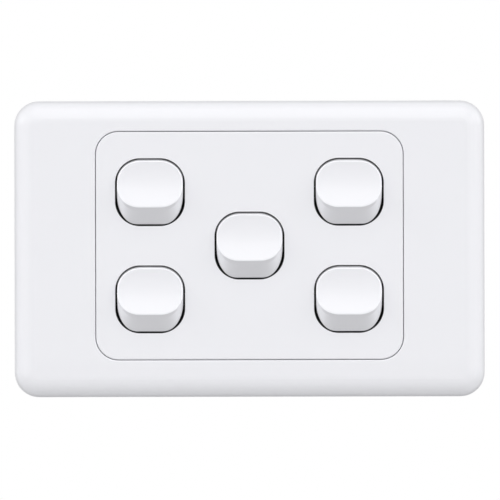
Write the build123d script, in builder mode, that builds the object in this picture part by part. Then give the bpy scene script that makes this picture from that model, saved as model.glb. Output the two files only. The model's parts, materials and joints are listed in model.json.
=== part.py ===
from build123d import *
import math
import os

# Five-gang rocker switch. X runs to the right, Z up the wall and Y into it. A height is measured off
# the wall towards the room, so a height h lies at Y = -h. The origin is on the wall, midway between
# the two mounting screws. Lengths are in millimetres and angles in degrees.

# Surround. Its borders are the widths of flat and rounded front beside, above and below the window.
side_border = 20.075
top_border = 7.53
bottom_border = 9.13
plate_depth = 9.0
plate_corner_radius = 6.1
plate_edge_radius = 4.4
surround_wall = 2.0
window_corner_radius = 5.7
window_lip_wall = 1.2
window_lip_depth = 1.2
seam = 0.15
small_edge_radius = 0.35

# Clip legs of the surround and their slots in the grid plate
leg_inset = 6.0
leg_spacing = 28.0
leg_thickness = 1.6
leg_width = 5.0
leg_end_height = 0.2
hook_reach = 0.8
hook_height = 0.9
slot_clearance = 0.3
hook_ledge = 1.2

# Grid plate. The ledge round its panel lies behind the lip of the window and closes the seam.
panel_thickness = 2.2
skirt_wall = 1.2
ledge_reach = 0.65
ledge_thickness = 1.0
ledge_clearance = 0.3
wing_thickness = 2.4
wing_margin = 3.5
wing_height = 40.0
wing_corner_radius = 2.0

# Mounting screws. Their distance from the window puts them at the usual 84 mm centres.
screw_inset = 4.075
screw_radius = 1.75
screw_neck_radius = 1.5
screw_hole_clearance = 0.45
screw_head_radius = 3.5
screw_head_height = 2.0
screw_head_edge = 0.8
screw_depth = 26.0
screw_recess_width = 1.0
screw_recess_depth = 0.9

# Room between and around the mechanisms
column_gap = 4.25
row_gap = 2.94
panel_side_margin = 3.225
panel_end_margin = 3.135

# Dolly, measured from its pivot
rocker_tilt = 13.0
rocker_gap = 0.4
dolly_width = 16.2
dolly_skirt_height = 2.2
dolly_shoulder_height = 4.75
dolly_shoulder_reach = 9.15
dolly_end_lean = 40.4
dolly_rim_height = 0.62
dolly_corner_radius = 5.1
dolly_mid_height = 7.6
dolly_mid_flat = 0.6
dolly_top_flat = 0.05
dolly_wall = 1.3
dolly_ceiling_height = 6.4
dolly_edge_radius = 0.4
face_height = 8.2
face_dish_radius = 30.0
cheek_boss_radius = 2.6
cheek_top_reach = 4.2
web_thickness = 1.2
trunnion_radius = 1.4
trunnion_length = 1.8
bearing_clearance = 0.06
stem_radius = 2.3
stem_depth = 8.0

# Plunger and spring, measured from the pivot along the stem
plunger_radius = 1.35
plunger_clearance = 0.07
plunger_guide = 3.0
plunger_proud = 1.8
bore_top_depth = 0.5
spring_radius = 1.12
spring_wire = 0.35
spring_turns = 6
spring_seat_clearance = 0.03

# Aperture of each rocker in the grid plate
swing_clearance = 0.3
aperture_lip = 0.2
aperture_corner_radius = 6.05
aperture_back_corner_radius = 4.5

# Housing
housing_side_clearance = 0.4
housing_side_wall = 1.6
housing_end_wall = 1.1
housing_corner_radius = 0.8
cavity_corner_radius = 0.5
cheek_floor_clearance = 0.7
housing_floor_thickness = 1.5
stem_window_clearance = 0.23
bearing_grip = 0.4
tongue_width = 6.0
tongue_thickness = 0.9
tongue_length = 6.0
tongue_window_width = 4.0
tongue_window_top = 2.4
tongue_window_length = 2.4
wedge_clearance = 0.15

# Snap fingers of the grid plate
finger_offset = 6.0
finger_width = 4.0
finger_thickness = 1.2
finger_clearance = 0.15
finger_end_height = 0.7
finger_hook_height = 1.4
finger_hook_reach = 0.75
notch_clearance = 0.1

# Ribs of the grid plate
mechanism_clearance = 0.2
rib_depth = 4.0
centre_rib_thickness = 1.2
centre_rib_length = 10.0
side_rib_length = 14.0

# Contact blade, measured from its fulcrum
plunger_blade_clearance = 0.34
blade_tilt = 8.0
blade_angle = 16.0
blade_front_rise = 0.66
blade_thickness = 0.7
blade_width = 4.0
blade_reach = 7.2
apex_radius = 0.85
rivet_reach = 6.0
rivet_radius = 1.5
rivet_height = 0.6
rivet_tail_radius = 0.8
rivet_tail_height = 0.25
rivet_edge = 0.3
contact_clearance = 0.04

# Terminals
terminal_width = 5.0
terminal_height = 6.0
terminal_depth = 6.25
terminal_side_clearance = 0.2
terminal_end_clearance = 0.88
strip_thickness = 0.9
strip_width = 3.4
strip_end = 1.6
cap_margin = 0.3
saddle_drop = 1.25
saddle_height = 1.1
saddle_half_length = 1.6
saddle_clearance = 0.2
groove_clearance = 0.07
ear_thickness = 0.8
ear_height = 2.35
wire_inset = 2.2
wire_bore_radius = 1.6
wire_bore_depth = 5.4
wire_entry_radius = 1.8
wire_entry_chamfer = 0.5

# Terminal base
base_rear_wall = 2.0
base_end_wall = 1.8
shoulder_size = 4.4
terminal_cover = 2.6
pocket_clearance = 0.1

# Terminal screws
clamp_head_radius = 2.2
clamp_head_height = 1.6
clamp_shank_radius = 1.5
clamp_shank_length = 3.4
clamp_clearance = 0.06
clamp_access_clearance = 0.25
clamp_slot_width = 0.8
clamp_slot_depth = 0.7

# Depths from the pivot that follow from the sizes
tilt_cos = math.cos(math.radians(rocker_tilt))
tilt_sin = math.sin(math.radians(rocker_tilt))
pivot_below_front = dolly_shoulder_height * tilt_cos + dolly_shoulder_reach * tilt_sin
housing_floor_depth = cheek_boss_radius + cheek_floor_clearance
plunger_top_depth = stem_depth - plunger_guide
plunger_tip_depth = stem_depth + plunger_proud
fulcrum_depth = plunger_tip_depth + blade_front_rise + plunger_blade_clearance

# Heights off the wall that follow from the sizes
front = plate_depth
panel_back = front - panel_thickness
ledge_front = front - surround_wall - window_lip_depth - ledge_clearance
pivot_height = front - pivot_below_front
housing_floor = pivot_height - housing_floor_depth
housing_rear = housing_floor - housing_floor_thickness
fulcrum_height = pivot_height - fulcrum_depth
base_floor = fulcrum_height - saddle_drop
strip_front = base_floor + strip_thickness
terminal_rear = base_floor - terminal_depth
base_rear = terminal_rear - base_rear_wall

# Dolly, aperture and housing
end_slope = math.tan(math.radians(dolly_end_lean))
swing_radius = math.hypot(dolly_shoulder_height, dolly_shoulder_reach)
dolly_skirt_reach = math.sqrt(swing_radius**2 - dolly_skirt_height**2)
dolly_top_height = face_height + dolly_rim_height
dolly_top_reach = dolly_shoulder_reach - (dolly_top_height - dolly_shoulder_height) * end_slope
dolly_mid_reach = dolly_shoulder_reach - (dolly_mid_height - dolly_shoulder_height) * end_slope
dolly_side = dolly_width / 2
aperture_width = dolly_width + 2 * rocker_gap
aperture_height = 2 * (dolly_shoulder_reach * tilt_cos - dolly_shoulder_height * tilt_sin + rocker_gap)
aperture_back_height = 2 * math.sqrt(
    (swing_radius + swing_clearance) ** 2 - (panel_back - pivot_height) ** 2
)
cavity_width = dolly_width + 2 * housing_side_clearance
cavity_height = 2 * (swing_radius + swing_clearance)
housing_width = cavity_width + 2 * housing_side_wall
housing_height = cavity_height + 2 * housing_end_wall
housing_side = housing_width / 2
housing_end = housing_height / 2
stem_window_width = 2 * (stem_radius + stem_window_clearance)
stem_swing = (housing_floor_depth + housing_floor_thickness) * tilt_sin / tilt_cos
stem_window_height = 2 * (stem_swing + stem_radius / tilt_cos + stem_window_clearance)

# Plate, laid out round the mechanisms
column_spacing = housing_width + column_gap
row_offset = housing_end + row_gap / 2
panel_width = 2 * (column_spacing + housing_side + panel_side_margin)
panel_height = 2 * (row_offset + housing_end + panel_end_margin)
panel_corner_radius = window_corner_radius - seam
window_width = panel_width + 2 * seam
window_height = panel_height + 2 * seam
plate_width = window_width + 2 * side_border
plate_height = window_height + top_border + bottom_border
plate_middle = (top_border - bottom_border) / 2
screw_spacing = window_width + 2 * screw_inset
leg_offset_across = plate_width / 2 - surround_wall - leg_inset
leg_offset_up = leg_spacing / 2
wing_reach = leg_offset_across + wing_margin
hook_top = finger_end_height + finger_hook_height

# Blade and terminals
blade_rear_rise = blade_front_rise - blade_thickness / math.cos(math.radians(blade_angle))
blade_slope = math.tan(math.radians(blade_angle))
cap_width = terminal_width + 2 * cap_margin
cap_outer_side = cavity_width / 2 - terminal_side_clearance
terminal_offset = cap_outer_side - cap_width / 2
terminal_outer_reach = housing_end - base_end_wall - terminal_end_clearance - cap_margin
terminal_inner_reach = terminal_outer_reach - terminal_height
wire_offset = terminal_inner_reach + wire_inset
ear_side = blade_width / 2 + saddle_clearance
saddle_side = ear_side + ear_thickness
shoulder_mid_reach = housing_end - shoulder_size / 2
shoulder_mid_height = base_rear + shoulder_size / 2
clamp_seat_sum = shoulder_mid_reach - shoulder_mid_height - terminal_cover * math.sqrt(2)

mechanism_places = {
    "upper_left": (-column_spacing, row_offset),
    "lower_left": (-column_spacing, -row_offset),
    "centre": (0, 0),
    "upper_right": (column_spacing, row_offset),
    "lower_right": (column_spacing, -row_offset),
}

os.makedirs("parts", exist_ok=True)


def front_plane(height, turn=0.0):
    """Plane that faces the room at a height off the wall, turned about X."""
    turned = math.radians(turn)
    facing = (0, -math.cos(turned), -math.sin(turned))
    return Plane(origin=(0, -height, 0), x_dir=(1, 0, 0), z_dir=facing)


def side_plane(height, turn=0.0, across=0.0):
    """Plane across X, with its own X towards the room and its own Y up the wall, turned about X."""
    turned = math.radians(turn)
    facing = (0, -math.cos(turned), -math.sin(turned))
    return Plane(origin=(across, -height, 0), x_dir=facing, z_dir=(-1, 0, 0))


def level_plane(up):
    """Plane across Z, with its own X to the right and its own Y towards the room."""
    return Plane(origin=(0, 0, up), x_dir=(1, 0, 0), z_dir=(0, 0, -1))


def clamp_plane(side, rise):
    """Plane on a shoulder of the terminal base, facing outwards along a terminal screw."""
    middle = (side * terminal_offset, -shoulder_mid_height, rise * shoulder_mid_reach)
    return Plane(origin=middle, x_dir=(1, 0, 0), z_dir=(0, 1, rise))


# Hollow behind the surround
with BuildPart() as surround_hollow:
    inner_width = plate_width - 2 * surround_wall
    inner_height = plate_height - 2 * surround_wall
    with BuildSketch(front_plane(0)):
        with Locations((0, plate_middle)):
            RectangleRounded(inner_width, inner_height, plate_corner_radius - surround_wall)
    extrude(amount=plate_depth - surround_wall)
    hollow_front = surround_hollow.faces().sort_by(Axis.Y)[0]
    fillet(hollow_front.edges(), radius=plate_edge_radius - surround_wall)

# Surround
with BuildPart() as surround:
    with BuildSketch(front_plane(0)):
        with Locations((0, plate_middle)):
            RectangleRounded(plate_width, plate_height, plate_corner_radius)
    extrude(amount=plate_depth)
    fillet(surround.faces().sort_by(Axis.Y)[0].edges(), radius=plate_edge_radius)
    add(surround_hollow.part, mode=Mode.SUBTRACT)
    with BuildSketch(front_plane(front - surround_wall)):
        RectangleRounded(
            window_width + 2 * window_lip_wall,
            window_height + 2 * window_lip_wall,
            window_corner_radius + window_lip_wall,
        )
    extrude(amount=-window_lip_depth)
    with BuildSketch(front_plane(front)):
        RectangleRounded(window_width, window_height, window_corner_radius)
    extrude(amount=-plate_depth, mode=Mode.SUBTRACT)
    front_edges = surround.edges().filter_by_position(Axis.Y, -front, -front)
    window_edges = front_edges.filter_by(
        lambda edge: abs(edge.center().X) < (window_width + seam) / 2
        and abs(edge.center().Z) < (window_height + seam) / 2
    )
    fillet(window_edges, radius=small_edge_radius)
    for side in (-1, 1):
        leg_inner = side * (leg_offset_across - leg_thickness / 2)
        leg_outer = side * (leg_offset_across + leg_thickness / 2)
        hook_tip = leg_outer + side * hook_reach
        for leg_up in (-leg_offset_up, leg_offset_up):
            with BuildSketch(level_plane(leg_up)):
                Polygon(
                    (leg_inner, front - surround_wall),
                    (leg_outer, front - surround_wall),
                    (leg_outer, leg_end_height + hook_height),
                    (hook_tip, leg_end_height + hook_height),
                    (leg_outer, leg_end_height),
                    (leg_inner, leg_end_height),
                    align=None,
                )
            extrude(amount=leg_width / 2, both=True)

# Grid plate
with BuildPart() as grid_plate:
    with BuildSketch(front_plane(front)):
        RectangleRounded(panel_width, panel_height, panel_corner_radius)
    extrude(amount=-front)
    fillet(grid_plate.faces().sort_by(Axis.Y)[0].edges(), radius=small_edge_radius)
    with BuildSketch(front_plane(ledge_front)):
        RectangleRounded(
            panel_width + 2 * ledge_reach,
            panel_height + 2 * ledge_reach,
            panel_corner_radius + ledge_reach,
        )
    extrude(amount=-ledge_thickness)
    with BuildSketch(front_plane(0)):
        RectangleRounded(
            panel_width - 2 * skirt_wall,
            panel_height - 2 * skirt_wall,
            panel_corner_radius - skirt_wall,
        )
    extrude(amount=panel_back, mode=Mode.SUBTRACT)

    # Wings for the mounting screws and the clip slots
    for side in (-1, 1):
        wing_inner = panel_width / 2 - skirt_wall
        wing_middle = side * (wing_inner + wing_reach) / 2
        slot_width = leg_thickness + hook_reach + slot_clearance
        slot_middle = side * (leg_offset_across - slot_clearance)
        with BuildSketch(front_plane(0)):
            with Locations((wing_middle, 0)):
                Rectangle(wing_reach - wing_inner, wing_height)
            with Locations((side * screw_spacing / 2, 0)):
                Circle(screw_radius + screw_hole_clearance, mode=Mode.SUBTRACT)
            with Locations((slot_middle, -leg_offset_up), (slot_middle, leg_offset_up)):
                Rectangle(slot_width, leg_width + 2 * slot_clearance, mode=Mode.SUBTRACT)
        extrude(amount=wing_thickness)
        with BuildSketch(front_plane(0)):
            ledge_middle = slot_middle + side * hook_reach / 2
            with Locations((ledge_middle, -leg_offset_up), (ledge_middle, leg_offset_up)):
                Rectangle(slot_width + hook_reach, leg_width + 2 * slot_clearance)
        extrude(amount=hook_ledge, mode=Mode.SUBTRACT)
    wing_corners = (
        grid_plate.edges()
        .filter_by(Axis.Y)
        .filter_by(lambda edge: abs(edge.center().X) > wing_reach - seam)
    )
    fillet(wing_corners, radius=wing_corner_radius)

    # Ribs between and beside the mechanisms
    between_rows = 2 * (row_offset - housing_end - mechanism_clearance)
    outer_rib_inner = row_offset + housing_end + mechanism_clearance
    outer_rib_outer = panel_height / 2 - skirt_wall
    outer_rib_middle = (outer_rib_inner + outer_rib_outer) / 2
    centre_rib_middle = housing_end + mechanism_clearance + centre_rib_thickness / 2
    with BuildSketch(front_plane(panel_back)):
        with Locations((-column_spacing, 0), (column_spacing, 0)):
            Rectangle(side_rib_length, between_rows)
        with GridLocations(2 * column_spacing, 2 * outer_rib_middle, 2, 2):
            Rectangle(side_rib_length, outer_rib_outer - outer_rib_inner)
        with Locations((0, -centre_rib_middle), (0, centre_rib_middle)):
            Rectangle(centre_rib_length, centre_rib_thickness)
    extrude(amount=-rib_depth)

    # Snap fingers, two on each side of each mechanism
    for across, up in mechanism_places.values():
        for side in (-1, 1):
            finger_inner = across + side * (housing_side + finger_clearance)
            finger_outer = finger_inner + side * finger_thickness
            hook_end = finger_inner - side * finger_hook_reach
            for finger_up in (up - finger_offset, up + finger_offset):
                with BuildSketch(level_plane(finger_up)):
                    Polygon(
                        (finger_inner, panel_back),
                        (finger_outer, panel_back),
                        (finger_outer, finger_end_height),
                        (finger_inner, finger_end_height),
                        (hook_end, hook_top),
                        (finger_inner, hook_top),
                        align=None,
                    )
                extrude(amount=finger_width / 2, both=True)

    # Apertures of the rockers, wider behind the lip because the ends of a dolly swing on an arc
    for across, up in mechanism_places.values():
        with BuildSketch(front_plane(front)):
            with Locations((across, up)):
                RectangleRounded(aperture_width, aperture_height, aperture_corner_radius)
        extrude(amount=-aperture_lip, mode=Mode.SUBTRACT)
        with BuildSketch(front_plane(front - aperture_lip)):
            with Locations((across, up)):
                RectangleRounded(aperture_width, aperture_height, aperture_corner_radius)
        with BuildSketch(front_plane(panel_back)):
            with Locations((across, up)):
                RectangleRounded(aperture_width, aperture_back_height, aperture_back_corner_radius)
        loft(ruled=True, mode=Mode.SUBTRACT)

# Mounting screws
with BuildPart() as mounting_screws:
    with BuildSketch(front_plane(wing_thickness)):
        with GridLocations(screw_spacing, 1, 2, 1):
            Circle(screw_head_radius)
    extrude(amount=screw_head_height)
    fillet(
        mounting_screws.edges().filter_by_position(
            Axis.Y, -wing_thickness - screw_head_height, -wing_thickness - screw_head_height
        ),
        radius=screw_head_edge,
    )
    with BuildSketch(front_plane(wing_thickness + screw_head_height)):
        with GridLocations(screw_spacing, 1, 2, 1):
            Rectangle(screw_head_radius, screw_recess_width)
            Rectangle(screw_recess_width, screw_head_radius)
    extrude(amount=-screw_recess_depth, mode=Mode.SUBTRACT)

    # Plain neck through the wing and threaded length behind it
    with BuildSketch(front_plane(wing_thickness)):
        with GridLocations(screw_spacing, 1, 2, 1):
            Circle(screw_neck_radius)
    extrude(amount=-wing_thickness)
    with BuildSketch(front_plane(0)):
        with GridLocations(screw_spacing, 1, 2, 1):
            Circle(screw_radius)
    extrude(amount=-screw_depth)
    chamfer(
        mounting_screws.edges().filter_by_position(Axis.Y, screw_depth, screw_depth),
        length=screw_radius / 2,
    )

# Dolly, at rest with its lower end out
with BuildPart() as dolly:
    rocker_plane = front_plane(pivot_height, -rocker_tilt)
    rocker_side = side_plane(pivot_height, -rocker_tilt)
    with BuildSketch(rocker_plane.offset(dolly_skirt_height)):
        RectangleRounded(dolly_width, 2 * dolly_skirt_reach, dolly_corner_radius)
    with BuildSketch(rocker_plane.offset(dolly_shoulder_height)):
        RectangleRounded(dolly_width, 2 * dolly_shoulder_reach, dolly_corner_radius)
    with BuildSketch(rocker_plane.offset(dolly_mid_height)):
        RectangleRounded(dolly_width, 2 * dolly_mid_reach, dolly_mid_reach - dolly_mid_flat)
    with BuildSketch(rocker_plane.offset(dolly_top_height)):
        RectangleRounded(dolly_width, 2 * dolly_top_reach, dolly_top_reach - dolly_top_flat)
    loft(ruled=True)

    # Concave face
    with BuildSketch(rocker_side):
        with Locations((face_height + face_dish_radius, 0)):
            Circle(face_dish_radius)
    extrude(amount=dolly_width, both=True, mode=Mode.SUBTRACT)
    fillet(dolly.faces().filter_by(GeomType.CYLINDER).edges(), radius=dolly_edge_radius)

    # Hollow
    lean_wall = dolly_wall / math.cos(math.radians(dolly_end_lean))
    ceiling_reach = dolly_shoulder_reach - (dolly_ceiling_height - dolly_shoulder_height) * end_slope
    inner_dolly_width = dolly_width - 2 * dolly_wall
    inner_dolly_radius = dolly_corner_radius - dolly_wall
    with BuildSketch(rocker_plane.offset(dolly_skirt_height)):
        RectangleRounded(inner_dolly_width, 2 * (dolly_skirt_reach - lean_wall), inner_dolly_radius)
    with BuildSketch(rocker_plane.offset(dolly_shoulder_height)):
        RectangleRounded(inner_dolly_width, 2 * (dolly_shoulder_reach - lean_wall), inner_dolly_radius)
    with BuildSketch(rocker_plane.offset(dolly_ceiling_height)):
        RectangleRounded(inner_dolly_width, 2 * (ceiling_reach - lean_wall), inner_dolly_radius)
    loft(ruled=True, mode=Mode.SUBTRACT)

    # Cheeks with the trunnions
    for side in (-1, 1):
        with BuildSketch(side_plane(pivot_height, -rocker_tilt, side * (dolly_side - dolly_wall / 2))):
            Circle(cheek_boss_radius)
            Polygon(
                (0, -cheek_boss_radius),
                (dolly_shoulder_height, -cheek_top_reach),
                (dolly_shoulder_height, cheek_top_reach),
                (0, cheek_boss_radius),
                align=None,
            )
        extrude(amount=dolly_wall / 2, both=True)
        trunnion_middle = side * (dolly_side + trunnion_length / 2)
        with BuildSketch(side_plane(pivot_height, -rocker_tilt, trunnion_middle)):
            Circle(trunnion_radius)
        extrude(amount=trunnion_length / 2, both=True)

    # Web and stem
    with BuildSketch(rocker_plane):
        Rectangle(dolly_width - dolly_wall, web_thickness)
    extrude(amount=dolly_ceiling_height)
    with BuildSketch(rocker_plane.offset(dolly_ceiling_height)):
        Circle(stem_radius)
    extrude(amount=-dolly_ceiling_height - stem_depth)
    with BuildSketch(rocker_plane.offset(-stem_depth)):
        Circle(plunger_radius + plunger_clearance)
    extrude(amount=stem_depth - bore_top_depth, mode=Mode.SUBTRACT)

# Plunger with its ball tip
with BuildPart() as plunger:
    with BuildSketch(rocker_side):
        with BuildLine():
            shaft_end = -plunger_tip_depth + plunger_radius
            Polyline(
                (-plunger_tip_depth, 0),
                (-plunger_top_depth, 0),
                (-plunger_top_depth, plunger_radius),
                (shaft_end, plunger_radius),
            )
            RadiusArc((shaft_end, plunger_radius), (-plunger_tip_depth, 0), -plunger_radius)
        make_face()
    plunger_axis = Axis(rocker_side.origin, rocker_side.x_dir)
    revolve(axis=plunger_axis)

# Spring of the plunger
with BuildPart() as spring:
    spring_start = -plunger_top_depth + spring_wire / 2 + spring_seat_clearance
    spring_end = -bore_top_depth - spring_wire / 2 - spring_seat_clearance
    spring_length = spring_end - spring_start
    spring_foot = rocker_plane.offset(spring_start)
    with BuildLine(spring_foot) as coil:
        Helix(
            pitch=spring_length / spring_turns,
            height=spring_length,
            radius=spring_radius,
            direction=rocker_plane.z_dir,
        )
    with BuildSketch(Plane(origin=coil.line @ 0, z_dir=coil.line % 0)):
        Circle(spring_wire / 2)
    sweep(path=coil.line, is_frenet=True)

# Contact blade, at rest with its lower arm on the first way contact
with BuildPart() as contact_blade:
    blade_side = side_plane(fulcrum_height, blade_tilt)
    blade_front_tip = blade_front_rise + blade_reach * blade_slope
    blade_rear_tip = blade_rear_rise + blade_reach * blade_slope
    with BuildSketch(blade_side):
        Polygon(
            (blade_front_rise, 0),
            (blade_front_tip, blade_reach),
            (blade_rear_tip, blade_reach),
            (blade_rear_rise, 0),
            (blade_rear_tip, -blade_reach),
            (blade_front_tip, -blade_reach),
            align=None,
        )
        Circle(apex_radius)
    extrude(amount=blade_width / 2, both=True)
    arm_cos = math.cos(math.radians(blade_angle))
    arm_sin = math.sin(math.radians(blade_angle))
    for rise in (-1, 1):
        arm_normal = blade_side.x_dir * arm_cos - blade_side.y_dir * rise * arm_sin
        rear_point = (blade_rear_rise + rivet_reach * blade_slope, rise * rivet_reach, 0)
        rear_seat = Plane(origin=blade_side.from_local_coords(rear_point), z_dir=-arm_normal)
        front_seat = Plane(origin=rear_seat.origin + arm_normal * blade_thickness, z_dir=arm_normal)
        with BuildSketch(rear_seat):
            Circle(rivet_radius)
        extrude(amount=rivet_height)
        with BuildSketch(front_seat):
            Circle(rivet_tail_radius)
        extrude(amount=rivet_tail_height)

# Housing with the bearings of the dolly
with BuildPart() as housing:
    with BuildSketch(front_plane(panel_back)):
        RectangleRounded(housing_width, housing_height, housing_corner_radius)
    extrude(amount=housing_rear - panel_back)
    with BuildSketch(front_plane(panel_back)):
        RectangleRounded(cavity_width, cavity_height, cavity_corner_radius)
    extrude(amount=housing_floor - panel_back, mode=Mode.SUBTRACT)
    with BuildSketch(front_plane(housing_floor)):
        Rectangle(stem_window_width, stem_window_height)
    extrude(amount=-housing_floor_thickness, mode=Mode.SUBTRACT)

    # Bearings, open to the front so that the trunnions snap in
    with BuildSketch(side_plane(pivot_height)):
        Circle(trunnion_radius + bearing_clearance)
        with Locations(((panel_back - pivot_height) / 2, 0)):
            Rectangle(panel_back - pivot_height, 2 * trunnion_radius - bearing_grip)
    extrude(amount=housing_width / 2, both=True, mode=Mode.SUBTRACT)

    # Notches for the snap fingers
    notch_height = finger_hook_height + 2 * notch_clearance
    notch_depth = finger_hook_reach - finger_clearance + notch_clearance
    notch_middle = finger_end_height + finger_hook_height / 2
    for side in (-1, 1):
        for notch_up in (-finger_offset, finger_offset):
            with BuildSketch(level_plane(notch_up)):
                with Locations((side * (housing_side - notch_depth / 2), notch_middle)):
                    Rectangle(notch_depth, notch_height)
            extrude(amount=finger_width / 2 + notch_clearance, both=True, mode=Mode.SUBTRACT)

    # Snap tongues that hold the terminal base
    for side in (-1, 1):
        tongue_middle = side * (housing_side + tongue_thickness / 2)
        with BuildSketch(front_plane(housing_floor)):
            with Locations((tongue_middle, 0)):
                Rectangle(tongue_thickness, tongue_width)
        extrude(amount=-housing_floor_thickness - tongue_length)
        with BuildSketch(front_plane(housing_rear - tongue_window_top)):
            with Locations((tongue_middle, 0)):
                Rectangle(tongue_thickness, tongue_window_width)
        extrude(amount=-tongue_window_length, mode=Mode.SUBTRACT)


def terminal_outline(rise):
    """Side outline of a terminal block, with its own X towards the room."""
    chamfer_height = terminal_outer_reach - clamp_seat_sum
    chamfer_reach = terminal_rear + clamp_seat_sum
    return [
        (base_floor, rise * terminal_inner_reach),
        (base_floor, rise * terminal_outer_reach),
        (chamfer_height, rise * terminal_outer_reach),
        (terminal_rear, rise * chamfer_reach),
        (terminal_rear, rise * terminal_inner_reach),
    ]


def make_terminal(side, rise):
    """Brass block with its cap, wire bore and screw bore, on one side and above or below the middle."""
    cap_middle = (terminal_inner_reach + terminal_outer_reach) / 2
    cap_height = terminal_outer_reach - terminal_inner_reach + 2 * cap_margin
    with BuildPart() as terminal:
        with BuildSketch(side_plane(0, 0, side * terminal_offset)):
            Polygon(*terminal_outline(rise), align=None)
        extrude(amount=terminal_width / 2, both=True)
        with BuildSketch(front_plane(base_floor)):
            with Locations((side * terminal_offset, rise * cap_middle)):
                Rectangle(cap_width, cap_height)
        extrude(amount=strip_thickness)
        with BuildSketch(front_plane(terminal_rear)):
            with Locations((side * terminal_offset, rise * wire_offset)):
                Circle(wire_bore_radius)
        extrude(amount=wire_bore_depth, mode=Mode.SUBTRACT)
        with BuildSketch(clamp_plane(side, rise)):
            Circle(clamp_shank_radius + clamp_clearance)
        extrude(amount=-terminal_cover - clamp_shank_length, mode=Mode.SUBTRACT)
    return terminal.part


# Common terminal with the saddle of the blade
common_block = make_terminal(-1, -1)
with BuildPart() as common_terminal:
    add(common_block)
    leg_middle = -(cap_outer_side + saddle_side) / 2
    with BuildSketch(front_plane(base_floor)):
        with Locations((leg_middle, (saddle_half_length - terminal_inner_reach) / 2)):
            Rectangle(cap_outer_side - saddle_side, saddle_half_length + terminal_inner_reach)
    extrude(amount=strip_thickness)
    with BuildSketch(front_plane(base_floor)):
        Rectangle(2 * saddle_side, 2 * saddle_half_length)
    extrude(amount=saddle_height)
    with BuildSketch(front_plane(base_floor)):
        ear_middle = (ear_side + saddle_side) / 2
        with Locations((-ear_middle, 0), (ear_middle, 0)):
            Rectangle(ear_thickness, 2 * saddle_half_length)
    extrude(amount=ear_height)
    with BuildSketch(side_plane(fulcrum_height)):
        Circle(apex_radius + groove_clearance)
    extrude(amount=ear_side, both=True, mode=Mode.SUBTRACT)

# Where the moving contact closes, from the fulcrum
rivet_face_rise = blade_rear_rise + rivet_reach * blade_slope - rivet_height * arm_cos
rivet_face_reach = rivet_reach + rivet_height * arm_sin
blade_cos = math.cos(math.radians(blade_tilt))
blade_sin = math.sin(math.radians(blade_tilt))
closed_rise = rivet_face_rise * blade_cos - rivet_face_reach * blade_sin
closed_reach = rivet_face_reach * blade_cos + rivet_face_rise * blade_sin
closed_lean = math.sin(math.radians(blade_angle - blade_tilt))
contact_front = fulcrum_height + closed_rise - (rivet_radius - rivet_edge) * closed_lean - contact_clearance


def make_way_terminal(rise):
    """Terminal with a strip under one arm of the blade and a fixed contact on it."""
    strip_length = cap_outer_side + strip_end
    way_block = make_terminal(1, rise)
    with BuildPart() as way_terminal:
        add(way_block)
        with BuildSketch(front_plane(base_floor)):
            with Locations((cap_outer_side - strip_length / 2, rise * closed_reach)):
                Rectangle(strip_length, strip_width)
        extrude(amount=strip_thickness)
        with BuildSketch(front_plane(strip_front)):
            with Locations((0, rise * closed_reach)):
                Circle(rivet_radius)
        extrude(amount=contact_front - strip_front)
        fillet(way_terminal.edges().filter_by_position(Axis.Y, -contact_front, -contact_front), rivet_edge)
    return way_terminal


way_one_terminal = make_way_terminal(-1)
way_two_terminal = make_way_terminal(1)

# Spare terminal for looping a wire on
loop_block = make_terminal(-1, 1)
with BuildPart() as loop_terminal:
    add(loop_block)

# Terminal base
with BuildPart() as terminal_base:
    with BuildSketch(front_plane(housing_rear)):
        RectangleRounded(housing_width, housing_height, housing_corner_radius)
    extrude(amount=base_rear - housing_rear)
    for rise in (-1, 1):
        with BuildSketch(side_plane(0)):
            Polygon(
                (base_rear, rise * (housing_end - shoulder_size)),
                (base_rear + shoulder_size, rise * housing_end),
                (base_rear, rise * housing_end),
                align=None,
            )
        extrude(amount=housing_side, both=True, mode=Mode.SUBTRACT)
    with BuildSketch(front_plane(housing_rear)):
        RectangleRounded(cavity_width, housing_height - 2 * base_end_wall, cavity_corner_radius)
    extrude(amount=base_floor - housing_rear, mode=Mode.SUBTRACT)
    for side in (-1, 1):
        for rise in (-1, 1):
            with BuildSketch(side_plane(0, 0, side * terminal_offset)):
                Polygon(*terminal_outline(rise), align=None)
                offset(amount=pocket_clearance, kind=Kind.INTERSECTION)
            extrude(amount=terminal_width / 2 + pocket_clearance, both=True, mode=Mode.SUBTRACT)
            with BuildSketch(clamp_plane(side, rise)):
                Circle(clamp_head_radius + clamp_access_clearance)
            extrude(amount=-terminal_cover, mode=Mode.SUBTRACT)
            with BuildSketch(front_plane(base_rear)):
                with Locations((side * terminal_offset, rise * wire_offset)):
                    Circle(wire_entry_radius)
            extrude(amount=terminal_rear - base_rear, mode=Mode.SUBTRACT)
    entry_edges = (
        terminal_base.edges()
        .filter_by_position(Axis.Y, -base_rear, -base_rear)
        .filter_by(GeomType.CIRCLE)
        .filter_by(lambda edge: abs(edge.radius - wire_entry_radius) < pocket_clearance)
    )
    chamfer(entry_edges, length=wire_entry_chamfer)

    # Wedges in the windows of the snap tongues
    wedge_front = housing_rear - tongue_window_top - wedge_clearance
    wedge_rear = housing_rear - tongue_window_top - tongue_window_length + wedge_clearance
    for side in (-1, 1):
        with BuildSketch(level_plane(0)):
            Polygon(
                (side * housing_side, wedge_front),
                (side * (housing_side + tongue_thickness), wedge_front),
                (side * housing_side, wedge_rear),
                align=None,
            )
        extrude(amount=tongue_window_width / 2 - wedge_clearance, both=True)

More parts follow.
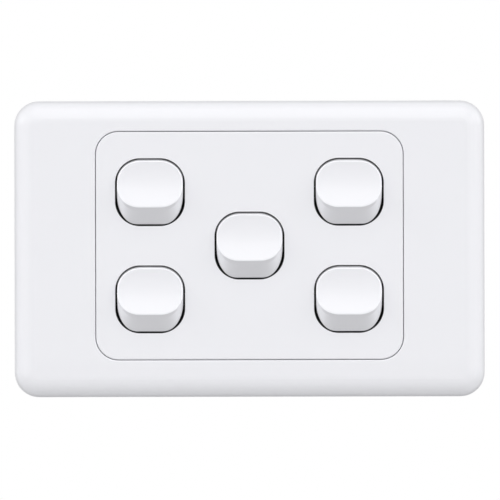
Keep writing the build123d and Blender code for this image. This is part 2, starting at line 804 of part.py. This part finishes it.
# Terminal screws
with BuildPart() as terminal_screws:
    for side in (-1, 1):
        for rise in (-1, 1):
            seat = clamp_plane(side, rise).offset(-terminal_cover)
            with BuildSketch(seat):
                Circle(clamp_head_radius)
            extrude(amount=clamp_head_height)
            with BuildSketch(seat):
                Circle(clamp_shank_radius)
            extrude(amount=-clamp_shank_length)
            with BuildSketch(seat.offset(clamp_head_height)):
                Rectangle(2 * clamp_head_radius, clamp_slot_width)
            extrude(amount=-clamp_slot_depth, mode=Mode.SUBTRACT)

# Export of the pieces of the plate
plate_pieces = {
    "surround": surround,
    "grid_plate": grid_plate,
    "mounting_screws": mounting_screws,
}
for piece_name, piece in plate_pieces.items():
    piece.part.label = piece_name
    export_step(piece.part, f"parts/{piece_name}.step")

# Export of the pieces of each mechanism
mechanism_pieces = {
    "dolly": dolly,
    "plunger": plunger,
    "spring": spring,
    "contact_blade": contact_blade,
    "housing": housing,
    "terminal_base": terminal_base,
    "common_terminal": common_terminal,
    "way_one_terminal": way_one_terminal,
    "way_two_terminal": way_two_terminal,
    "loop_terminal": loop_terminal,
    "terminal_screws": terminal_screws,
}
for place, (across, up) in mechanism_places.items():
    for piece_name, piece in mechanism_pieces.items():
        placed = piece.part.moved(Location((across, 0, up)))
        placed.label = f"{place}_{piece_name}"
        export_step(placed, f"parts/{placed.label}.step")
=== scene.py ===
import json
import math

import bmesh
import bpy
from mathutils import Matrix, Vector


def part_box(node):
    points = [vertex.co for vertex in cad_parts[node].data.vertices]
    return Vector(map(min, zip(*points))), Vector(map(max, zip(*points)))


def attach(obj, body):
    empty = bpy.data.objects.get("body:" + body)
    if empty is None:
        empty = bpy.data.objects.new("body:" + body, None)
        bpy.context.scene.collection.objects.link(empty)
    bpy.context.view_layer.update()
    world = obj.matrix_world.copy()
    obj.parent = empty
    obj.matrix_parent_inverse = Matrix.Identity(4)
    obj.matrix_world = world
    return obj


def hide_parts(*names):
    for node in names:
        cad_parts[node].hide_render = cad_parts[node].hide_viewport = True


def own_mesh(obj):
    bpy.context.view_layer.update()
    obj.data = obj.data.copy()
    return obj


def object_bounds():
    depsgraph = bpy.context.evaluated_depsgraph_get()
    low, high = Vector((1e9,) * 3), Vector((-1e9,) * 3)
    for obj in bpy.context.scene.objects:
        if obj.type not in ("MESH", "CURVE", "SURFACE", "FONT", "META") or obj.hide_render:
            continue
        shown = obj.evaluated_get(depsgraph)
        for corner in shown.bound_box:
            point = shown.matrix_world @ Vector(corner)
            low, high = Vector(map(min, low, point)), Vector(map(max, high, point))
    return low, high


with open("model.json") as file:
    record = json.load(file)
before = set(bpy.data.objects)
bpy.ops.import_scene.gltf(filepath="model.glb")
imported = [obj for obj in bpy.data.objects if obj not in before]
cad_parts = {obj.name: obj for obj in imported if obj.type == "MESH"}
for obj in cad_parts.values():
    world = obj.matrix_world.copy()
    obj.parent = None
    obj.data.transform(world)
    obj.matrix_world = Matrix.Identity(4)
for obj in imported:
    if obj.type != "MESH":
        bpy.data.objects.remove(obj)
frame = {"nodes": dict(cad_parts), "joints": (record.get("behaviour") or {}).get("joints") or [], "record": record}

# Looks of the five-gang rocker switch. Lengths are in metres, X runs to the right, Z up the wall and Y
# into it, and the origin is on the wall, midway between the two mounting screws.

MM = 0.001
cad_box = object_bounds()
nodes = frame["nodes"]
front = -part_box("grid_plate")[0].y
surround_low, surround_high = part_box("surround")
surround_middle = (surround_low + surround_high) / 2
rocker_tilt = math.radians(13)
pivots = {
    joint["name"].removesuffix("_rocker_hinge"): Vector(joint["pos_m"])
    for joint in frame["joints"] if joint["name"].endswith("_rocker_hinge")
}
slides = {joint["child"]: joint for joint in frame["joints"] if joint["type"] == "slide"}


class Value:
    """A socket of a shader, with the maths that an expression on it adds."""

    def __init__(self, finish, socket):
        self.finish = finish
        self.socket = socket

    def _maths(self, operation, first, second):
        return self.finish.add("ShaderNodeMath", {"operation": operation}, {0: first, 1: second})

    def __add__(self, other):
        return self._maths("ADD", self, other)

    def __sub__(self, other):
        return self._maths("SUBTRACT", self, other)

    def __rsub__(self, other):
        return self._maths("SUBTRACT", other, self)

    def __mul__(self, other):
        return self._maths("MULTIPLY", self, other)

    def size(self):
        """The value without its sign."""
        return self._maths("ABSOLUTE", self, 0.0)

    def or_less(self, other):
        """The smaller of two values."""
        return self._maths("MINIMUM", self, other)

    def or_more(self, other):
        """The larger of two values."""
        return self._maths("MAXIMUM", self, other)

    def rise(self, start, end):
        """From 0 at a start to 1 at an end, smoothly."""
        settings = {"interpolation_type": "SMOOTHSTEP"}
        inputs = {"Value": self, "From Min": start, "From Max": end}
        return self.finish.add("ShaderNodeMapRange", settings, inputs)

    def part(self, axis):
        """One axis of a vector."""
        return self.finish.add("ShaderNodeSeparateXYZ", {}, {"Vector": self}, axis)


class Finish:
    """A material and its nodes."""

    def __init__(self, name, roughness=0.5, **constants):
        self.material = bpy.data.materials.new(name)
        self.material.use_nodes = True
        self.tree = self.material.node_tree
        self.shader = self.tree.nodes["Principled BSDF"]
        self.shader.inputs["Roughness"].default_value = roughness
        for socket_name, constant in constants.items():
            self.shader.inputs[socket_name.replace("_", " ")].default_value = constant
        self.place = self.add("ShaderNodeTexCoord", {}, {}, "Object")

    def add(self, kind, settings, inputs, output=0):
        """Adds a node of a type with its settings and its sockets' values or links."""
        node = self.tree.nodes.new(kind)
        for setting, choice in settings.items():
            setattr(node, setting, choice)
        for socket_name, given in inputs.items():
            if isinstance(given, Value):
                self.tree.links.new(given.socket, node.inputs[socket_name])
            else:
                node.inputs[socket_name].default_value = given
        return Value(self, node.outputs[output])

    def noise(self, size, detail=2.0, stretch=None):
        """Noise with features of about a size in metres, from 0 to 1."""
        where = self.place
        if stretch:
            where = self.add("ShaderNodeMapping", {}, {"Vector": where, "Scale": stretch})
        inputs = {"Vector": where, "Scale": 1 / size, "Detail": detail}
        return self.add("ShaderNodeTexNoise", {}, inputs)

    def vector(self, operation, first, second=(0.0, 0.0, 0.0), output="Vector"):
        """Vector maths."""
        settings = {"operation": operation}
        return self.add("ShaderNodeVectorMath", settings, {0: first, 1: second}, output)

    def facing(self, turn=0.0):
        """Direction that the surface faces, turned back about X."""
        outwards = self.add("ShaderNodeTexCoord", {}, {}, "Normal")
        inputs = {"Vector": outwards, "Rotation": (turn, 0, 0)}
        return self.add("ShaderNodeMapping", {"vector_type": "VECTOR"}, inputs)

    def past_outline(self, place, middle, side, end, radius):
        """Distance outwards from a rounded outline of a middle and half sizes."""
        corner = (side - radius, 0, end - radius)
        off_middle = self.vector("ABSOLUTE", self.vector("SUBTRACT", place, middle))
        past_corner = self.vector("MULTIPLY", self.vector("SUBTRACT", off_middle, corner), (1, 0, 1))
        return self.vector("LENGTH", self.vector("MAXIMUM", past_corner), output="Value") - radius

    def blend(self, amount, low, high):
        """Colour between two, by an amount from 0 to 1."""
        settings = {"data_type": "RGBA", "clamp_factor": True}
        inputs = {0: amount, 6: low, 7: high}
        return self.add("ShaderNodeMix", settings, inputs, 2)

    def feed(self, socket_name, value):
        """Links a value to the shader."""
        self.tree.links.new(value.socket, self.shader.inputs[socket_name])

    def relief(self, height):
        """Bump of a height in metres."""
        self.feed("Normal", self.add("ShaderNodeBump", {}, {"Distance": 1.0, "Height": height}))


def rgb(red, green, blue):
    """Colour with full alpha."""
    return (red, green, blue, 1.0)


def shade(colour, factor):
    """Colour with its channels multiplied by a factor."""
    return rgb(*(channel * factor for channel in colour[:3]))


# Moulded plastic
drift_size = 18 * MM
drift_shade = 0.996
sheen_size = 12 * MM
sheen_range = 0.016


def moulded(name, colour, roughness, grain_size, grain_depth, **constants):
    """Start of a moulded plastic: its tone with a faint drift, uneven gloss and the grain of its tool."""
    finish = Finish(name, roughness, **constants)
    finish.tone = finish.blend(finish.noise(drift_size), shade(colour, drift_shade), colour)
    sheen = finish.noise(sheen_size, 1.0)
    finish.feed("Roughness", sheen * sheen_range + (roughness - sheen_range / 2))
    finish.surface = finish.noise(grain_size) * grain_depth
    return finish


def plain_plastic(name, colour, roughness, grain_size, grain_depth):
    """Moulded plastic of one colour."""
    finish = moulded(name, colour, roughness, grain_size, grain_depth)
    finish.feed("Base Color", finish.tone)
    finish.relief(finish.surface)
    return finish


# Gloss plastic of the surround, the grid plate and the rockers
plate_white = rgb(0.845, 0.847, 0.88)
rocker_white = rgb(0.832, 0.834, 0.867)
# Near-black painted shade for the gaps round the rockers, standing in for the shadow there
painted_gap_shade = rgb(0.02, 0.02, 0.022)
plate_roughness = 0.34
rocker_roughness = 0.28
gloss_grain = 0.25 * MM
plate_grain_depth = 0.0015 * MM
rocker_grain_depth = 0.001 * MM
gloss_ior = 1.46

# Apertures of the grid plate: half sizes, corner radius, the painted shadow line at their edge, and how far out
# and from which depth their walls get painted shade
aperture_side = 8.5 * MM
aperture_end = 8.247 * MM
aperture_radius = 6.05 * MM
edge_shade_width = 0.11 * MM
edge_shade_softness = 0.03 * MM
wall_shade_reach = (2.5 * MM, 3 * MM)
wall_shade_depth = (0.05 * MM, 0.15 * MM)


def panel_plastic(name):
    """Gloss plastic of the grid plate, with painted shade in the gaps round its rockers."""
    finish = moulded(name, plate_white, plate_roughness, gloss_grain, plate_grain_depth, IOR=gloss_ior)
    finish.relief(finish.surface)
    folded = finish.vector("ABSOLUTE", finish.place)
    outer, centre = [
        finish.past_outline(folded, pivots[place], aperture_side, aperture_end, aperture_radius)
        for place in ("upper_right", "centre")
    ]
    nearest = outer.or_less(centre)
    depth = finish.place.part("Y") + front
    # Painted shade: a dark line round each aperture's edge and dark aperture walls below the front, for the shadow
    # in the gaps
    edges = 1 - nearest.rise(edge_shade_width - edge_shade_softness, edge_shade_width + edge_shade_softness)
    walls = (1 - nearest.rise(*wall_shade_reach)) * depth.rise(*wall_shade_depth)
    finish.feed("Base Color", finish.blend(edges.or_more(walls), finish.tone, painted_gap_shade))
    return finish


# Border of the surround: its corner radius, the break between the border and the flat front, which is
# fainter at the bottom, and the painted shade where it turns steep
surround_radius = 6.1 * MM
border_break = (2.8 * MM, 5.3 * MM)
border_rise = 0.3 * MM
bottom_fade = (2 * MM, 10 * MM)
bottom_share = 0.2
steep_facing = (0.3, 0.65)
steep_shade = 0.84


def surround_plastic(name):
    """Gloss plastic of the surround, with a soft break where its rounded border meets the flat front, and painted
    shade where it turns steep.
    """
    finish = moulded(name, plate_white, plate_roughness, gloss_grain, plate_grain_depth, IOR=gloss_ior)
    half = (surround_high - surround_low) / 2
    outline = (surround_middle, half.x, half.z, surround_radius)
    inwards = finish.past_outline(finish.place, *outline) * -1.0
    upwards = (finish.place.part("Z") - surround_low.z).rise(*bottom_fade)
    strength = upwards * (1 - bottom_share) + bottom_share
    finish.relief(finish.surface + inwards.rise(*border_break) * strength * border_rise)
    # Painted shade: surfaces turned steeply away from the front are darkened in colour
    outwards = finish.facing().part("Y") * -1.0
    painted_steep_shade = shade(plate_white, steep_shade)
    finish.feed("Base Color", finish.blend(outwards.rise(*steep_facing), painted_steep_shade, finish.tone))
    return finish


# Faces of a rocker: the half length and the curve of the dish, the painted shade of the end walls, the painted
# highlight of the rounded edges, stronger on the upper ones, and the depth under the panel's front where a part of
# it never comes out and gets painted gap shade
face_reach = 5.7 * MM
dish_curve = 10.0
end_wall_facing = (0.53, 0.72)
end_wall_shade = 0.85
edge_facing_start = (0.66, 0.8)
edge_facing_end = (0.95, 0.98)
edge_highlight_gain = 1.1
top_edge_facing = (0.1, 0.3)
top_edge_highlight_gain = 1.18
hidden_below = 0.12 * MM
seen_above = 0.02 * MM


def rocker_plastic(name, pivot):
    """Gloss plastic of one rocker: dished face, painted shade on the end walls, painted highlights on the rounded
    edges, and painted shade where it never leaves its gap.
    """
    finish = moulded(name, rocker_white, rocker_roughness, gloss_grain, rocker_grain_depth, IOR=gloss_ior)
    turned = Matrix.Rotation(rocker_tilt, 3, "X") @ pivot
    inputs = {"Vector": finish.place, "Location": -turned, "Rotation": (rocker_tilt, 0, 0)}
    settled = finish.add("ShaderNodeMapping", {}, inputs)
    along = settled.part("Z").size()
    height = settled.part("Y") * -1.0
    facing = finish.facing(rocker_tilt)
    upwards = facing.part("Z")
    outwards = facing.part("Y") * -1.0
    # Painted shade: the end walls are darkened in colour, as the lower one lies in shade under the light from
    # above
    shaded_end_walls = upwards.size().rise(*end_wall_facing)
    # Painted highlight: the rounded edges are lightened in colour, the upward-facing ones more, as if lit from
    # above
    edges = outwards.rise(*edge_facing_start) * (1 - outwards.rise(*edge_facing_end))
    top_edge_highlights = edges * upwards.rise(*top_edge_facing)
    tone = finish.blend(shaded_end_walls, finish.tone, shade(rocker_white, end_wall_shade))
    tone = finish.blend(edges, tone, shade(rocker_white, edge_highlight_gain))
    tone = finish.blend(top_edge_highlights, tone, shade(rocker_white, top_edge_highlight_gain))
    # Painted shade: the part of the rocker that stays inside its gap is coloured near black, for the shadow there
    raised = height * math.cos(rocker_tilt) + along * math.sin(rocker_tilt)
    clear = front + pivot.y
    never_out_shade = 1 - raised.rise(clear - hidden_below, clear - seen_above)
    finish.feed("Base Color", finish.blend(never_out_shade, tone, painted_gap_shade))
    dish = along.or_less(face_reach)
    finish.relief(finish.surface + dish * dish * dish_curve)
    return finish


# Worked metal
tarnish_size = 1.2 * MM
streak_size = 0.4 * MM
streak_gloss = 0.2
streak_depth = 0.01 * MM


def metal(name, colour, dark, roughness, streak):
    """Worked metal: tarnish in soft patches and fine streaks from the tool."""
    finish = Finish(name, roughness, Metallic=1.0)
    finish.feed("Base Color", finish.blend(finish.noise(tarnish_size, 4.0), dark, colour))
    lines = finish.noise(streak_size, 3.0, streak)
    finish.feed("Roughness", lines * streak_gloss + (roughness - streak_gloss / 2))
    finish.relief(lines * streak_depth)
    return finish


# Plastics behind the panel, each with its colour, roughness, and size and depth of grain
plain_plastics = {
    "housing_plastic": (rgb(0.02, 0.02, 0.022), 0.6, 0.2 * MM, 0.01 * MM),
    "base_plastic": (rgb(0.07, 0.072, 0.078), 0.55, 0.2 * MM, 0.01 * MM),
    "plunger_plastic": (rgb(0.8, 0.78, 0.72), 0.4, 0.3 * MM, 0.004 * MM),
}

# Metals, each with its colour, tarnish, roughness and stretch of its streaks
metals = {
    "brass": (rgb(0.78, 0.57, 0.25), rgb(0.6, 0.4, 0.16), 0.35, (1, 1, 8)),
    "contact_alloy": (rgb(0.83, 0.52, 0.38), rgb(0.6, 0.34, 0.22), 0.35, (8, 1, 1)),
    "plated_steel": (rgb(0.72, 0.72, 0.73), rgb(0.5, 0.5, 0.52), 0.35, (1, 6, 1)),
    "spring_steel": (rgb(0.6, 0.6, 0.62), rgb(0.4, 0.4, 0.42), 0.3, (1, 1, 1)),
}

finishes = {slot: plain_plastic(slot, *settings) for slot, settings in plain_plastics.items()}
finishes |= {slot: metal(slot, *settings) for slot, settings in metals.items()}
node_finishes = {
    "surround": surround_plastic("surround_plastic"),
    "grid_plate": panel_plastic("panel_plastic"),
}
for place, pivot in pivots.items():
    node_finishes[f"{place}_dolly"] = rocker_plastic(f"{place}_rocker_plastic", pivot)
for entry in frame["record"]["subparts"]:
    mesh = nodes[entry["node"]].data
    mesh.materials.clear()
    finish = node_finishes.get(entry["node"]) or finishes[entry["material_slot"]]
    mesh.materials.append(finish.material)


def new_piece(name, shape, slot, body):
    """Object of a finished shape, with its finish, riding on a body."""
    mesh = bpy.data.meshes.new(name)
    shape.to_mesh(mesh)
    shape.free()
    piece = bpy.data.objects.new(name, mesh)
    bpy.context.scene.collection.objects.link(piece)
    mesh.materials.append(finishes[slot].material)
    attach(piece, body)
    return piece


# Mounting screws with their real threads. A plain neck passes through the wing, and the thread starts
# at the wall.
head_diameter = 7 * MM
wing_front = -2.4 * MM
head_clearance = 0.02 * MM
neck_radius = 1.5 * MM
neck_overlap = 0.5 * MM
thread_radius = 1.75 * MM
thread_root = 1.42 * MM
thread_pitch = 0.6 * MM
thread_steps = 16
crest_half_width = 0.04 * MM
ridge_overlap = 0.1 * MM
ridge_end = 0.7 * MM
point_length = 0.9 * MM
point_radius = 0.8 * MM
weld_distance = 0.001 * MM
screw_turn = 2 * math.pi


def screw_core(shape, middle, start, end):
    """Neck of a screw and the core under its thread, with a cone at its point."""
    outline = [
        (neck_radius, start), (neck_radius, 0), (thread_root, neck_radius - thread_root),
        (thread_root, end - point_length), (point_radius, end), (0, end),
    ]
    corners = [shape.verts.new((middle + radius, depth, 0)) for radius, depth in outline]
    edges = [shape.edges.new(pair) for pair in zip(corners, corners[1:])]
    bmesh.ops.spin(
        shape, geom=corners + edges, cent=(middle, 0, 0), axis=(0, 1, 0),
        angle=screw_turn, steps=2 * thread_steps, use_merge=True,
    )


def screw_thread(shape, middle, start, end):
    """Ridge of the thread, a closed bar wound round the core."""
    inside = thread_root - ridge_overlap
    outline = [
        (inside, 0), (thread_radius, thread_pitch / 2 - crest_half_width),
        (thread_radius, thread_pitch / 2 + crest_half_width), (inside, thread_pitch),
    ]
    corners = [shape.verts.new((middle + radius, start + rise, 0)) for radius, rise in outline]
    edges = [shape.edges.new((corners[i - 1], corners[i])) for i in range(len(corners))]
    turns = (end - start - thread_pitch) / thread_pitch
    steps = int(turns * thread_steps)
    wound = bmesh.ops.spin(
        shape, geom=corners + edges, cent=(middle, 0, 0), axis=(0, 1, 0),
        dvec=(0, thread_pitch / thread_steps, 0), angle=screw_turn * steps / thread_steps, steps=steps,
    )
    shape.faces.new(corners)
    shape.faces.new([item for item in wound["geom_last"] if isinstance(item, bmesh.types.BMVert)])


screws_low, screws_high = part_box("mounting_screws")
screw_spacing = screws_high.x - screws_low.x - head_diameter
screws = bmesh.new()
screws.from_mesh(nodes["mounting_screws"].data)
bmesh.ops.remove_doubles(screws, verts=screws.verts, dist=weld_distance)
bmesh.ops.bisect_plane(
    screws, geom=screws.verts[:] + screws.edges[:] + screws.faces[:],
    plane_co=(0, wing_front - head_clearance, 0), plane_no=(0, 1, 0), clear_outer=True,
)
open_edges = [edge for edge in screws.edges if edge.is_boundary]
bmesh.ops.holes_fill(screws, edges=open_edges)
for side in (-1, 1):
    middle = side * screw_spacing / 2
    screw_core(screws, middle, wing_front - neck_overlap, screws_high.y)
    screw_thread(screws, middle, 0, screws_high.y - ridge_end)
bmesh.ops.recalc_face_normals(screws, faces=screws.faces)
threaded_screws = new_piece("threaded_screws", screws, "plated_steel", "plate")
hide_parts("mounting_screws")


# Springs of the plungers, each copied into a piece of its own that rides on its rocker. Their travel and length
# are measured, but nothing shortens them as the plungers slide in.
for place in pivots:
    slide = slides[f"{place}_plunger"]
    slide_axis = Vector(slide["axis"]).normalized()
    travel = slide["range_m"][1]
    coil = bmesh.new()
    coil.from_mesh(nodes[f"{place}_spring"].data)
    along_axis = [vert.co.dot(slide_axis) for vert in coil.verts]
    fixed_end = max(along_axis)
    spring_length = fixed_end - min(along_axis)
    coil_piece = new_piece(f"{place}_coil", coil, "spring_steel", f"{place}_rocker")
    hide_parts(f"{place}_spring")
    1 - travel / spring_length
    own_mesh(coil_piece)


# Camera, straight on, at the photograph's framing of 500 by 500 pixels
frame_pixels = 500
outline_pixels = 470
outline_depth = -4.6 * MM
camera_distance = 1.25
camera_roll = math.radians(0.13)
aim_right = 0.5
aim_down = 1.2
pixel = (cad_box[1][0] - cad_box[0][0]) / outline_pixels
camera_data = bpy.data.cameras.new("camera")
camera_data.sensor_width = 36.0
camera_data.lens = camera_data.sensor_width * (camera_distance + outline_depth) / (pixel * frame_pixels)
camera = bpy.data.objects.new("camera", camera_data)
camera.location = (
    surround_middle.x + aim_right * pixel, -camera_distance, surround_middle.z - aim_down * pixel
)
camera.rotation_euler = (math.radians(90), camera_roll, 0)
bpy.context.scene.collection.objects.link(camera)
bpy.context.scene.camera = camera


# Studio light, from above and from both sides
lamp_distance = 2.0


def lamp(name, azimuth, elevation, size, level):
    """Soft square lamp aimed at the switch. A level of 1 alone lights a white face turned to it to 1."""
    data = bpy.data.lights.new(name, "AREA")
    data.size = size
    data.energy = level * math.pi**2 * lamp_distance**2
    light = bpy.data.objects.new(name, data)
    turn = math.radians(azimuth)
    rise = math.radians(elevation)
    towards = Vector((math.sin(turn) * math.cos(rise), -math.cos(turn) * math.cos(rise), math.sin(rise)))
    light.location = towards * lamp_distance
    light.rotation_euler = towards.to_track_quat("Z", "Y").to_euler()
    light.visible_camera = False
    bpy.context.scene.collection.objects.link(light)


lamp("front_lamp", 0, 10, 2.0, 0.055)
lamp("top_lamp", 0, 52, 1.7, 0.407)
for side in (-1, 1):
    lamp("side_lamp", 45 * side, 15, 1.2, 0.173)
    lamp("far_side_lamp", 72 * side, 20, 1.2, 0.15)
    lamp("grazing_lamp", 86 * side, 18, 1.2, 0.16)

# World: an even soft light, white where it is seen
ambient_level = 0.264
seen_level = 1.0
world = bpy.data.worlds.new("studio")
bpy.context.scene.world = world
world.use_nodes = True
world_nodes = world.node_tree.nodes
world_links = world.node_tree.links
background = world_nodes["Background"]
light_path = world_nodes.new("ShaderNodeLightPath")
seen = world_nodes.new("ShaderNodeMath")
seen.operation = "MAXIMUM"
world_links.new(light_path.outputs["Is Camera Ray"], seen.inputs[0])
seen_in_metal = world_nodes.new("ShaderNodeMath")
seen_in_metal.operation = "MAXIMUM"
world_links.new(light_path.outputs["Is Glossy Ray"], seen_in_metal.inputs[0])
world_links.new(light_path.outputs["Is Transmission Ray"], seen_in_metal.inputs[1])
world_links.new(seen_in_metal.outputs[0], seen.inputs[1])
level = world_nodes.new("ShaderNodeMapRange")
level.inputs["To Min"].default_value = ambient_level
level.inputs["To Max"].default_value = seen_level
world_links.new(seen.outputs[0], level.inputs["Value"])
world_links.new(level.outputs[0], background.inputs["Strength"])
background.inputs["Color"].default_value = rgb(1, 1, 1)

# Floor
floor_half_size = 0.6
floor_drop = 0.12
floor_white = rgb(0.8, 0.8, 0.8)
floor_mottle = 0.05
floor_mesh = bpy.data.meshes.new("floor")
floor_shape = bmesh.new()
bmesh.ops.create_grid(floor_shape, x_segments=1, y_segments=1, size=floor_half_size)
bmesh.ops.translate(floor_shape, verts=floor_shape.verts, vec=(0, 0, cad_box[0][2] - floor_drop))
floor_shape.to_mesh(floor_mesh)
floor_shape.free()
floor = bpy.data.objects.new("floor", floor_mesh)
bpy.context.scene.collection.objects.link(floor)
floor_finish = Finish("floor", 0.8)
floor_tone = floor_finish.blend(floor_finish.noise(floor_mottle), shade(floor_white, 0.975), floor_white)
floor_finish.feed("Base Color", floor_tone)
floor_mesh.materials.append(floor_finish.material)

bpy.context.scene.view_settings.view_transform = "Standard"
